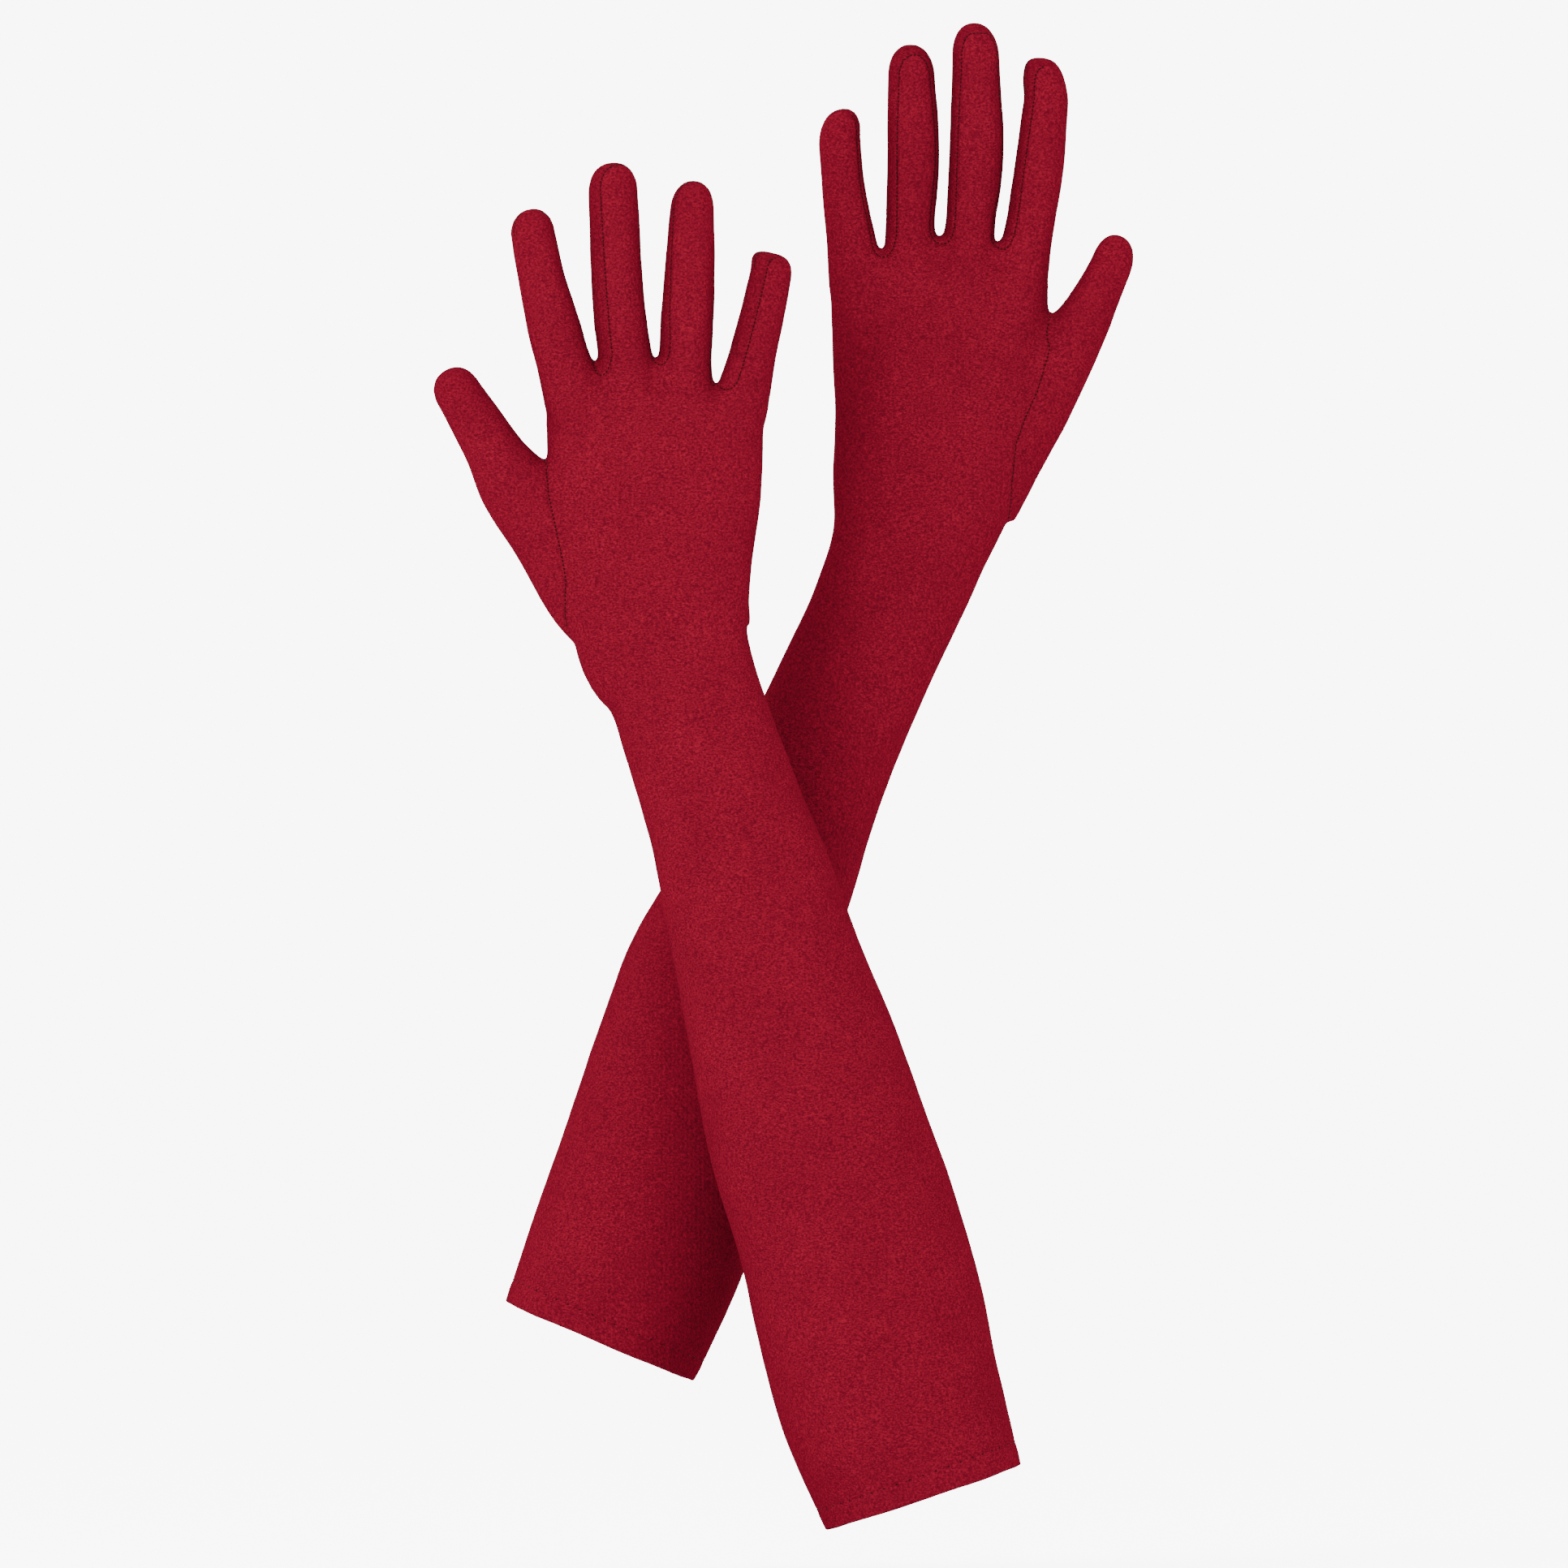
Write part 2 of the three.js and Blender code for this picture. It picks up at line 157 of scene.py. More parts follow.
# ---- The two gloves ----------------------------------------------------------------------------------

# An arm's stations run from the hem to the knuckles: x, z, width, depth. A finger's are x, z, width. The
# thumb's also have its depth and how far its middle lies behind the hand's.
# `square` is how blunt a finger's tip is, `turn` how far its front panel is turned towards +X, `half` the
# angle it takes up each way, and `narrow` how much of the side strip's width is left at the tip. `strip_flat`
# is the flat width and length that its side strips are cut to, in metres.
RIGHT = {
    "name": "right",
    "thumb_side": -1,
    "arm": [
        (0, 0, 78, 82), (-14.8, 44.7, 85.7, 84), (-21.7, 75.5, 86.8, 82), (-30, 106.3, 84.8, 79),
        (-40.2, 137.1, 83.3, 75), (-48.7, 167.9, 78.4, 70), (-57.8, 198.7, 71.2, 64),
        (-66.2, 229.5, 65.9, 57), (-75.8, 260.3, 60, 50), (-86.1, 291.1, 57.5, 43.5),
        (-92.4, 309.5, 58, 40.5), (-97.6, 321.9, 65.5, 38), (-100, 334, 68, 36), (-101.6, 352.7, 72.7, 33),
        (-101.5, 383.5, 80, 29), (-102, 402, 82.5, 26), (-101.8, 412, 82, 24), (-101.5, 418.5, 78, 20.5),
    ],
    "digits": {
        "index": {
            "line": [(-129, 402, 22), (-133, 419, 23.2), (-136.3, 430, 20.8), (-140.2, 443.5, 20.2),
                     (-145, 462, 17.8), (-148.4, 480, 16.4)],
            "tip": (-149.6, 489), "square": 2.0, "half": 55, "turn": 30, "narrow": 0.8,
        },
        "middle": {
            "line": [(-109, 400, 22), (-111.5, 419, 22.8), (-113, 431, 20.8), (-114.8, 444, 20.2),
                     (-116.7, 466.6, 19.5), (-117.9, 495.5, 18.8)],
            "tip": (-117.9, 506.7), "square": 2.2, "half": 58, "turn": 29, "narrow": 0.85,
        },
        "ring": {
            "line": [(-91.3, 400, 22), (-90.8, 419, 22.4), (-90.4, 431, 20.4), (-90, 444, 20.2),
                     (-88.7, 466.6, 19), (-87.9, 488, 16.8)],
            "tip": (-87.3, 499.8), "square": 2.15, "half": 53, "turn": 19, "narrow": 0.36,
        },
        "little": {
            "line": [(-75, 396, 21), (-69.8, 413, 21.4), (-67.5, 423, 20), (-65.4, 432, 18.3),
                     (-61.4, 448.1, 16.9), (-57.8, 465.2, 16)],
            "tip": (-58, 472.4), "square": 3.2, "half": 55, "turn": 35, "narrow": 0.9,
        },
    },
    "strip_flat": {
        "index": (0.012, 0.06), "middle": (0.012, 0.07), "ring": (0.011, 0.06), "little": (0.011, 0.052),
    },
    "webs": [(-122.9, 428.4), (-99.8, 432.4), (-76.2, 422.9)],
    "thumb": [
        (-112.5, 333, 41, 24, 2.5), (-117, 339, 44, 25, 3), (-140, 369, 38, 27, 5), (-156, 386, 28, 26, 5),
        (-162.6, 396.5, 22.4, 22, 3), (-170.2, 408.8, 19.8, 19, 1.5), (-176, 418, 17.8, 17.5, 0.5),
    ],
    "thumb_tip": (-181.8, 427.4),
    "thumb_web": (-142, 390.5),
    "thumb_cut": -6,
    "thumb_seam": [(-143.2, 390.3), (-142.3, 380.4), (-139.5, 367.3), (-137.1, 356), (-135.8, 348.4),
                   (-135.5, 330)],
}

LEFT = {
    "name": "left",
    "thumb_side": 1,
    "arm": [
        (-123.4, 58.2, 77.7, 82), (-116.1, 75.5, 80.4, 82), (-104.5, 106, 82.6, 80), (-93.6, 137.1, 83, 76),
        (-85.8, 167.9, 78, 71), (-76.4, 198.7, 73, 66), (-64.3, 223.3, 68, 60), (-49.6, 260.3, 62, 53),
        (-38.5, 284.9, 57, 47), (-27.4, 309.5, 55, 42), (-16, 334.2, 55.5, 38.5), (-6.2, 358.8, 59, 35.5),
        (0, 383.5, 70, 33), (5.2, 414.3, 78, 30), (6.2, 440, 81.5, 27.5), (6.5, 456, 83, 25),
        (6.6, 462, 82.5, 23.5), (6.7, 467.5, 79, 20.5),
    ],
    "digits": {
        "little": {
            "line": [(-22.5, 445, 21), (-25.4, 462, 20.8), (-27, 475.9, 18.8), (-29.8, 494.3, 16.8),
                     (-31.9, 517, 16)],
            "tip": (-30.8, 528.4), "square": 2.3, "half": 55, "turn": 0, "narrow": 0.8,
        },
        "ring": {
            "line": [(-4.6, 442, 21), (-4.6, 462, 21.6), (-5, 476, 19.1), (-4.7, 485.1, 19),
                     (-3.7, 508, 20), (-4.3, 540, 17.8)],
            "tip": (-4.8, 552.8), "square": 2.2, "half": 43, "turn": 9, "narrow": 0.95,
        },
        "middle": {
            "line": [(15.4, 442, 22), (16.2, 462, 22), (17.3, 476, 19.5), (18.1, 485.1, 19.2),
                     (20.2, 506, 20.8), (20.3, 547, 18)],
            "tip": (19.6, 561.2), "square": 2.2, "half": 50, "turn": 13, "narrow": 0.9,
        },
        "index": {
            "line": [(34, 442, 22), (36.5, 462, 22.2), (40, 479, 19.2), (43.9, 503.6, 18.8),
                     (47, 532, 17.4)],
            "tip": (45.2, 548), "square": 2.8, "half": 53, "turn": 18, "narrow": 0.9,
        },
    },
    "strip_flat": {
        "index": (0.013, 0.065), "middle": (0.014, 0.072), "ring": (0.016, 0.066), "little": (0.011, 0.055),
    },
    "webs": [(-17.4, 474.6), (6.1, 479.3), (28.6, 477)],
    "thumb": [
        (14, 381, 46, 25, 3), (22.5, 397, 46.5, 27, 4), (38.5, 417, 38, 27, 5), (52, 434.5, 28, 25, 4),
        (60, 445.5, 21.7, 21, 2.5), (66.8, 458, 17.8, 18, 1), (71.5, 468, 15.8, 16, 0.5),
    ],
    "thumb_tip": (75.8, 479.7),
    "thumb_web": (47.7, 444),
    "thumb_cut": 2,
    "thumb_seam": [(48.3, 436.4), (43.7, 420.6), (39.1, 410.4), (35.5, 400.2), (33.9, 384.8), (32.4, 371.6)],
}
FINGERS = ("index", "middle", "ring", "little")


# ---- Lines and sections ------------------------------------------------------------------------------

class Line:
    """A smooth line through stations of x, z, width, depth and how far behind, measured along its length."""

    def __init__(self, stations, behind):
        points = np.array(stations, float)
        steps = np.hypot(np.diff(points[:, 0]), np.diff(points[:, 1]))
        at = np.concatenate([[0], np.cumsum(steps)])
        slopes = np.gradient(points, at, axis=0)
        fine = np.linspace(0, at[-1], int(at[-1]) * 2 + 1)
        i = np.clip(np.searchsorted(at, fine, "right") - 1, 0, len(at) - 2)
        span = (at[i + 1] - at[i])[:, None]
        t = (fine - at[i])[:, None] / span
        self.rows = (
            (2 * t**3 - 3 * t**2 + 1) * points[i]
            + (t**3 - 2 * t**2 + t) * span * slopes[i]
            + (3 * t**2 - 2 * t**3) * points[i + 1]
            + (t**3 - t**2) * span * slopes[i + 1]
        )
        moved = np.hypot(np.diff(self.rows[:, 0]), np.diff(self.rows[:, 1]))
        self.at = np.concatenate([[0], np.cumsum(moved)])
        self.length = self.at[-1]
        self.behind = behind

    def row(self, s):
        return np.array([np.interp(s, self.at, column) for column in self.rows.T])

    def centre(self, s):
        x, z, *rest = self.row(s)
        over = max(s - self.length, 0) + min(s, 0)
        way = self.way(s)
        extra = rest[2] if len(rest) > 2 else 0
        return np.array([x, self.behind + extra, z]) + way * over

    def way(self, s):
        s = min(max(s, 1.0), self.length - 1.0)
        d = self.row(s + 1.0)[:2] - self.row(s - 1.0)[:2]
        d = d / np.hypot(*d)
        return np.array([d[0], 0, d[1]])

    def size(self, s):
        return self.row(min(max(s, 0), self.length))[2:4]

    def nearest(self, x, z):
        """How far along the line its nearest point to x, z is."""
        return self.at[np.argmin(np.hypot(self.rows[:, 0] - x, self.rows[:, 1] - z))]


def on_section(centre, way, width, depth, angle, roundness):
    """A point on a section across a line. Angle 0 faces the front, -Y, and a quarter turn faces +X."""
    across = np.array([way[2], 0, -way[0]])
    power = 2 / roundness
    s, c = math.sin(angle), math.cos(angle)
    x = width / 2 * math.copysign(abs(s) ** power, s)
    y = -depth / 2 * math.copysign(abs(c) ** power, c)
    return centre + across * x + np.array([0, y, 0])


def section(line, s, angles, roundness, scale=1.0):
    """The points of a section across a line, `s` along it."""
    width, depth = line.size(s) * scale
    centre, way = line.centre(s), line.way(s)
    return [on_section(centre, way, width, depth, angle, roundness) for angle in angles]


def turn(sides):
    """The angles of a whole turn."""
    return [2 * math.pi * i / sides for i in range(sides)]


def loft(bm, rings):
    """Bridges a row of rings into a closed body."""
    loops = []
    for points in rings:
        made = bmesh.ops.create_circle(bm, segments=len(points), radius=1)["verts"]
        for vert, point in zip(made, points):
            vert.co = point
        edges = list({edge for vert in made for edge in vert.link_edges})
        if loops:
            bmesh.ops.bridge_loops(bm, edges=loops[-1] + edges)
        loops.append(edges)
    for edges in (loops[0], loops[-1]):
        bmesh.ops.contextual_create(bm, geom=edges)


def digit_rings(line, tip, square, roundness, sides):
    """A digit's rings from inside the hand to its rounded tip."""
    count = int(line.length / RING_STEP)
    body = [section(line, line.length * i / count, turn(sides), roundness) for i in range(count)]
    return body + tip_rings(line, tip, square, roundness, sides)


def tip_rings(line, tip, square, roundness, sides):
    """The rings of a digit's rounded tip. A bigger `square` makes a blunter one."""
    end = line.centre(line.length)
    lean = np.array([tip[0] - end[0], 0, tip[1] - end[2]])
    rings = []
    for i in range(TIP_RINGS):
        t = math.sin(math.pi / 2 * i / (TIP_RINGS - 0.6))
        scale = (1 - t**square) ** (1 / square)
        ring = section(line, line.length, turn(sides), roundness, scale=scale)
        rings.append([point + lean * t for point in ring])
    return rings


# ---- One glove's skin --------------------------------------------------------------------------------

class Glove:
    """One glove's lines, hinges and edges, from its stations and the part's joints."""

    def __init__(self, spec):
        self.spec = spec
        self.name = spec["name"]
        self.side = spec["thumb_side"]
        wrist = JOINTS[f"{self.name}_wrist_bend"]
        self.behind = wrist["pos_m"][1] / MM
        self.arm = Line(spec["arm"], self.behind)
        at_wrist = self.arm.nearest(wrist["pos_m"][0] / MM, wrist["pos_m"][2] / MM)
        self.hand_from = at_wrist + HAND_FROM
        self.digits = {}
        for name in FINGERS:
            digit = spec["digits"][name]
            stations = [(x, z, w, w * FINGER_DEPTH) for x, z, w in digit["line"]]
            self.digits[name] = Line(stations, self.behind)
        self.thumb = Line(spec["thumb"], self.behind)
        self.hinges = {digit: self.find_hinge(digit) for digit in (*FINGERS, "thumb")}
        self.order = sorted(FINGERS, key=lambda finger: self.hinges[finger][0].x)
        self.rim = Vector(self.arm.centre(self.hand_from))
        self.rim_way = Vector(self.arm.way(self.hand_from))

    def find_hinge(self, digit):
        """A digit's hinge and the way that the digit points at it."""
        joint = JOINTS[f"{self.name}_{digit}_bend"]
        axis = joint["axis"]
        way = Vector((axis[2], 0, -axis[0]))
        return Vector(joint["pos_m"]) / MM, way.normalized()

    def above_rim(self, point):
        """How far a point lies above the edge where the hand meets the sleeve."""
        return (point - self.rim).dot(self.rim_way)

    def facing(self, side):
        return "thumb_side" if side == self.side else "outer_side"

    def cut_height(self, digit):
        return self.spec["thumb_cut"] if digit == "thumb" else FINGER_CUT

    def bends(self, digit):
        """Where a digit's fabric starts and stops bending."""
        pivot, way = self.hinges[digit]
        start = self.cut_height(digit)
        return pivot + way * start, pivot + way * (start + FINGER_BENDS)

    def owner(self, point):
        """The digit nearest to a point, and how high above that digit's cut the point lies."""
        web_x, web_z = self.spec["thumb_web"]
        pivot, way = self.hinges["thumb"]
        divide = Vector((way.x, 0, way.z + 1)).normalized()
        off = (point.x - web_x) * divide.z - (point.z - web_z) * divide.x
        if off * self.side > 0:
            return "thumb", (point - pivot).dot(way) - self.cut_height("thumb")
        best = min(FINGERS, key=lambda name: self.off_axis(name, point))
        pivot, way = self.hinges[best]
        return best, (point - pivot).dot(way) - FINGER_CUT

    def off_axis(self, name, point):
        pivot, way = self.hinges[name]
        offset = point - pivot
        return (offset - way * offset.dot(way)).length

    def core(self):
        """The hand, its fingers, thumb and webs as overlapping closed bodies."""
        bm = bmesh.new()
        from_s = self.hand_from - HAND_OVERLAP
        count = int((self.arm.length - from_s) / RING_STEP)
        stops = [from_s + (self.arm.length - from_s) * i / count for i in range(count + 1)]
        loft(bm, [section(self.arm, s, turn(ARM_SIDES), ARM_ROUNDNESS) for s in stops])
        for name, line in self.digits.items():
            digit = self.spec["digits"][name]
            loft(bm, digit_rings(line, digit["tip"], digit["square"], FINGER_ROUNDNESS, FINGER_SIDES))
        tip = self.spec["thumb_tip"]
        loft(bm, digit_rings(self.thumb, tip, THUMB_SQUARE, FINGER_ROUNDNESS, THUMB_SIDES))
        for x, z in self.spec["webs"]:
            place = Matrix.Translation((x, self.behind, z - WEB_RADII[2])) @ Matrix.Diagonal((*WEB_RADII, 1))
            bmesh.ops.create_icosphere(bm, subdivisions=3, radius=1, matrix=place)
        return bm


def as_object(name, bm):
    mesh = bpy.data.meshes.new(name)
    bm.to_mesh(mesh)
    bm.free()
    made = bpy.data.objects.new(name, mesh)
    bpy.context.scene.collection.objects.link(made)
    return made


def joined_skin(name, core):
    """The overlapping bodies as one even skin."""
    rough = as_object(f"{name}_core", core)
    remesh = rough.modifiers.new("skin", "REMESH")
    remesh.mode = "VOXEL"
    remesh.voxel_size = VOXEL
    bpy.context.view_layer.update()
    graph = bpy.context.evaluated_depsgraph_get()
    bm = bmesh.new()
    bm.from_object(rough, graph)
    bpy.data.objects.remove(rough)
    return bm


def relax(bm, verts, passes):
    for _ in range(passes):
        bmesh.ops.smooth_vert(bm, verts=verts, factor=0.5, use_axis_x=True, use_axis_y=True, use_axis_z=True)


def smooth(bm, glove):
    """Rounds off the grain of the skin, and fairs the crotches between the digits into the hand."""
    relax(bm, bm.verts, SKIN_SMOOTHING)
    reach, passes = KNUCKLES_FAIRED
    thumb_reach, thumb_passes = THUMB_FAIRED
    crotches = [Vector((x, glove.behind, z - CROTCH_DROP)) for x, z in glove.spec["webs"]]
    knuckles = [v for v in bm.verts if any((v.co - c).length < reach for c in crotches)]
    web_x, web_z = glove.spec["thumb_web"]
    thumb = [v for v in bm.verts if math.hypot(v.co.x - web_x, v.co.z - web_z) < thumb_reach]
    relax(bm, knuckles, passes)
    relax(bm, thumb, thumb_passes)


def trim_at_wrist(bm, glove):
    """Cuts the hand square across at its lowest edge and gives back that edge."""
    centre, way = glove.rim, glove.rim_way
    geometry = bm.verts[:] + bm.edges[:] + bm.faces[:]
    bmesh.ops.bisect_plane(bm, geom=geometry, plane_co=centre, plane_no=way, clear_inner=True)
    rim = [edge for edge in bm.edges if edge.is_boundary]
    bmesh.ops.remove_doubles(bm, verts=list({v for e in rim for v in e.verts}), dist=RIM_MERGE)
    return [edge for edge in bm.edges if edge.is_boundary]


def spaced(start, stop, step):
    """Even steps from just past `start` to `stop`."""
    count = max(1, round(abs(stop - start) / step))
    return [start + (stop - start) * (i + 1) / count for i in range(count)]


def hem_inset(s):
    """How far the hem is pulled in at a height: in at its stitches, out below them."""
    dip, dip_at, dip_spread = HEM_DIP
    swell, swell_at, swell_spread = HEM_SWELL
    return (
        dip * math.exp(-((s - dip_at) / dip_spread) ** 2)
        - swell * math.exp(-((s - swell_at) / swell_spread) ** 2)
    )


def sleeve_profile(glove):
    """The sleeve from the hand down, round the hem's fold and up its inside: height above the edge, inset."""
    outside = [(s, 0.0) for s in spaced(glove.hand_from, 13.5, RING_STEP)]
    hem = [(s, hem_inset(s)) for s in HEM_RINGS]
    fold = [(0.12, 0.3), (0.0, 0.8), (0.12, 1.3), (0.5, HEM_THICKNESS)]
    inside = [(s, HEM_THICKNESS) for s in (3, 6, 8.8, HEM_DEPTH - 0.2)]
    step = [(HEM_DEPTH, HEM_THICKNESS - 0.3), (HEM_DEPTH + 0.05, 1.0), (HEM_DEPTH + 0.6, WALL)]
    wall = [(s, WALL) for s in spaced(HEM_DEPTH + 1, glove.hand_from - 0.6, 8)]
    return outside + hem + fold + inside + step + wall


def uneven(point):
    """The slight unevenness of stretched cloth, in millimetres."""
    return sum(height * noise.noise(Vector(point) / length) for height, length in UNEVENNESS)


def add_sleeve(bm, glove, rim):
    """Draws the sleeve down from the hand's lowest edge, and round its hem."""
    angle_of = bm.verts.layers.float.new("angle")
    offset_of = bm.verts.layers.float_vector.new("offset")
    centre, way = glove.rim, glove.rim_way
    across = Vector((way.z, 0, -way.x))
    width, depth = glove.arm.size(glove.hand_from)
    for vert in {v for edge in rim for v in edge.verts}:
        local = vert.co - centre
        u, v = local.dot(across) / (width / 2), -local.y / (depth / 2)
        half = ARM_ROUNDNESS / 2
        angle = math.atan2(math.copysign(abs(u) ** half, u), math.copysign(abs(v) ** half, v))
        vert[angle_of] = angle
        vert[offset_of] = vert.co - Vector(section(glove.arm, glove.hand_from, [angle], ARM_ROUNDNESS)[0])
    edges = rim
    for s, inset in sleeve_profile(glove):
        made = bmesh.ops.extrude_edge_only(bm, edges=edges)["geom"]
        verts = {item for item in made if isinstance(item, bmesh.types.BMVert)}
        edges = [e for e in made if isinstance(e, bmesh.types.BMEdge) and all(v in verts for v in e.verts)]
        width, depth = glove.arm.size(s)
        centre, way = glove.arm.centre(s), glove.arm.way(s)
        fade = max(0.0, 1 - (glove.hand_from - s) / SLEEVE_SETTLES)
        fade = fade * fade * (3 - 2 * fade)
        for vert in verts:
            point = on_section(
                centre, way, width - 2 * inset, depth - 2 * inset, vert[angle_of], ARM_ROUNDNESS
            )
            vert.co = Vector(point) + vert[offset_of] * fade


# ---- Seams -------------------------------------------------------------------------------------------

def snapped(points, tree):
    """A seam's points, evenly spaced and laid on the skin."""
    line = [Vector(point) for point in points]
    out = []
    for a, b in zip(line, line[1:]):
        count = max(1, int((b - a).length / 0.3))
        out += [a.lerp(b, i / count) for i in range(count)]
    return [tree.find_nearest(point)[0] for point in out + [line[-1]]]


class FingerSeams:
    """Where a finger's front and back panels end: two flat cuts through it, `strip` apart."""

    def __init__(self, glove, name):
        digit = glove.spec["digits"][name]
        self.line = glove.digits[name]
        self.digit = digit
        webs = glove.spec["webs"]
        k = glove.order.index(name)
        beside = {-1: k - 1, 1: k}
        self.webs = {side: webs[i] for side, i in beside.items() if 0 <= i < len(webs)}
        self.sides = list(self.webs)
        self.pivot, way = glove.hinges[name]
        across = Vector((way.z, 0, -way.x))
        turned = math.radians(digit["turn"])
        self.front = across * math.sin(turned) - Vector((0, math.cos(turned), 0))
        self.out = across * math.cos(turned) + Vector((0, math.sin(turned), 0))
        low, high = self.line.length * PANELS_FROM, self.line.length
        broad = sum(self.line.size(low)) / 4 * math.cos(math.radians(digit["half"]))
        base = Vector(self.line.centre(low))
        tip = Vector(self.line.centre(high))
        self.flat_cuts = []
        for face in (1, -1):
            a = base + self.front * face * broad
            b = tip + self.front * face * broad * digit["narrow"]
            self.flat_cuts.append((a, self.out.cross(b - a).normalized()))
        for i, (point, way) in enumerate(self.flat_cuts):
            if way.dot(self.front) * (1 - 2 * i) < 0:
                self.flat_cuts[i] = (point, -way)

    def strip_side(self, point):
        """The side of the finger whose strip a point lies on, or None."""
        if any((point - place).dot(way) > 0 for place, way in self.flat_cuts):
            return None
        s = self.line.nearest(point.x, point.z)
        side = 1 if (point - Vector(self.line.centre(s))).dot(self.out) > 0 else -1
        return side if side in self.sides else None

    def edge(self, face, side, ring):
        """The point of a ring where the front or back panel ends on one side, or None past the end of it."""
        middle = sum(ring, Vector()) / len(ring)
        place, way = self.flat_cuts[0 if face > 0 else 1]
        high = [(p - place).dot(way) for p in ring]
        for i, value in enumerate(high):
            j = (i + 1) % len(ring)
            if value * high[j] <= 0 and value != high[j]:
                point = ring[i].lerp(ring[j], value / (value - high[j]))
                if (point - middle).dot(self.out) * side > 0:
                    return point
        return None

    def rings(self, start):
        """Fine rings from `start` along the finger to its tip."""
        steps = [start + i for i in range(int(self.line.length - start) + 1)]
        body = [section(self.line, s, turn(SEAM_SIDES), FINGER_ROUNDNESS) for s in steps]
        tip = tip_rings(self.line, self.digit["tip"], self.digit["square"], FINGER_ROUNDNESS, SEAM_SIDES)
        return [[Vector(point) for point in ring] for ring in body + tip]

    def run(self, face, side):
        """The seam up one side of the front or back panel, from just above the web."""
        web_x, web_z = self.webs[side]
        start = self.line.nearest(web_x, web_z + 5)
        points = [self.edge(face, side, ring) for ring in self.rings(start)]
        return [point for point in points if point is not None]

    def over_tip(self):
        """The short seam over the end of a finger that has a strip on one side only."""
        side = self.sides[0]
        rings = self.rings(self.line.length - 2)
        ends = [max(ring, key=lambda p: (p - self.pivot).dot(self.out) * side) for ring in rings]
        far = [max(ring, key=lambda p: -(p - self.pivot).dot(self.out) * side) for ring in rings[2:]]
        return ends[3:] + far[::-1]


def laid(tree, glove, x, z, face):
    """The point of the skin at x, z on the back of the hand, or on the palm where `face` is -1."""
    start = Vector((x, glove.behind - 60 * face, z))
    hit = tree.ray_cast(start, Vector((0, face, 0)))[0]
    return hit or tree.find_nearest(Vector((x, glove.behind, z)))[0]


def web_seam(glove, tree, web, face, low, high):
    """The small U that joins two fingers' seams just below the web between them.

    Half way along a curve with two handles, an end counts for 1/8 and a handle for 3/8.
    """
    x, z = web
    bottom = z - WEB_SEAM_DROP
    hit = laid(tree, glove, x, bottom, face)
    drop = ((low.z + high.z) / 2 - bottom) / 0.75
    y = (hit.y - 0.125 * (low.y + high.y)) / 0.75
    first, second = [Vector((end.x * 0.8 + x * 0.2, y, end.z - drop)) for end in (low, high)]
    points = []
    for i in range(WEB_SEAM_STEPS + 1):
        t = i / WEB_SEAM_STEPS
        points.append(
            low * (1 - t) ** 3 + first * 3 * t * (1 - t) ** 2 + second * 3 * t**2 * (1 - t) + high * t**3
        )
    return points


def thumb_seam(glove, tree):
    """The seam round the thumb's root: up the back of the hand to the web, and down the palm."""
    rows = []
    for face, shift in ((1, 0), (-1, -5 * glove.side)):
        row = []
        for x, z in glove.spec["thumb_seam"]:
            row.append(laid(tree, glove, x + shift, z, face))
        rows.append(row)
    web = Vector((glove.spec["thumb_web"][0], glove.behind, glove.spec["thumb_web"][1]))
    return rows[0][::-1] + [web] + rows[1]


def side_seam(glove):
    """The long seam on the little-finger side, from the hem to the little finger's tip."""
    away = -glove.side
    points = []
    for s in spaced(HEM_DEPTH, glove.arm.length - 22, 4):
        depth = glove.arm.size(s)[1]
        behind = min(SEAM_BEHIND, 0.3 * depth)
        angle = math.pi / 2 + math.asin((2 * behind / depth) ** (ARM_ROUNDNESS / 2))
        points.append(section(glove.arm, s, [away * angle], ARM_ROUNDNESS)[0])
    line = glove.digits["little"]
    knuckle = glove.hinges["little"][0]
    for s in spaced(line.nearest(knuckle.x, knuckle.z), line.length, 3):
        points.append(section(line, s, [away * math.radians(112)], FINGER_ROUNDNESS)[0])
    return [Vector(point) for point in points]


def hand_seams(glove, tree, finger_seams):
    """Every seam of the hand and its digits, laid on the skin."""
    seams = []
    for name, cuts in finger_seams.items():
        for face in (1, -1):
            runs = [cuts.run(face, side) for side in cuts.sides]
            if len(runs) == 2:
                seams.append(runs[0] + runs[1][::-1])
            else:
                seams.append(runs[0])
        if len(cuts.sides) == 1:
            seams.append(cuts.over_tip())
    for (low, high), web in zip(zip(glove.order, glove.order[1:]), glove.spec["webs"]):
        for face in (1, -1):
            start = finger_seams[low].run(face, 1)[0]
            end = finger_seams[high].run(face, -1)[0]
            seams.append(web_seam(glove, tree, web, face, start, end))
    seams.append(thumb_seam(glove, tree))
    return [snapped(points, tree) for points in seams]


# ---- Cutting and finishing the skin ------------------------------------------------------------------

HAND = 0
SLEEVE = 1


def cut_panels(bm, glove, finger_seams):
    """Cuts the skin at each digit's base and along each finger's panels."""
    for digit in (*FINGERS, "thumb"):
        start = glove.bends(digit)[0]
        way = glove.hinges[digit][1]
        near = []
        for face in bm.faces:
            middle = face.calc_center_median()
            if abs((middle - start).dot(way)) < CUT_REACH and glove.owner(middle)[0] == digit:
                near.append(face)
        split(bm, near, start, way)
    for name, cuts in finger_seams.items():
        start, along = glove.bends(name)[0], glove.hinges[name][1]
        for point, way in cuts.flat_cuts:
            faces = []
            for face in bm.faces:
                middle = face.calc_center_median()
                if abs((middle - point).dot(way)) < CUT_REACH and (middle - start).dot(along) > 0:
                    if glove.owner(middle)[0] == name:
                        faces.append(face)
            split(bm, faces, point, way)


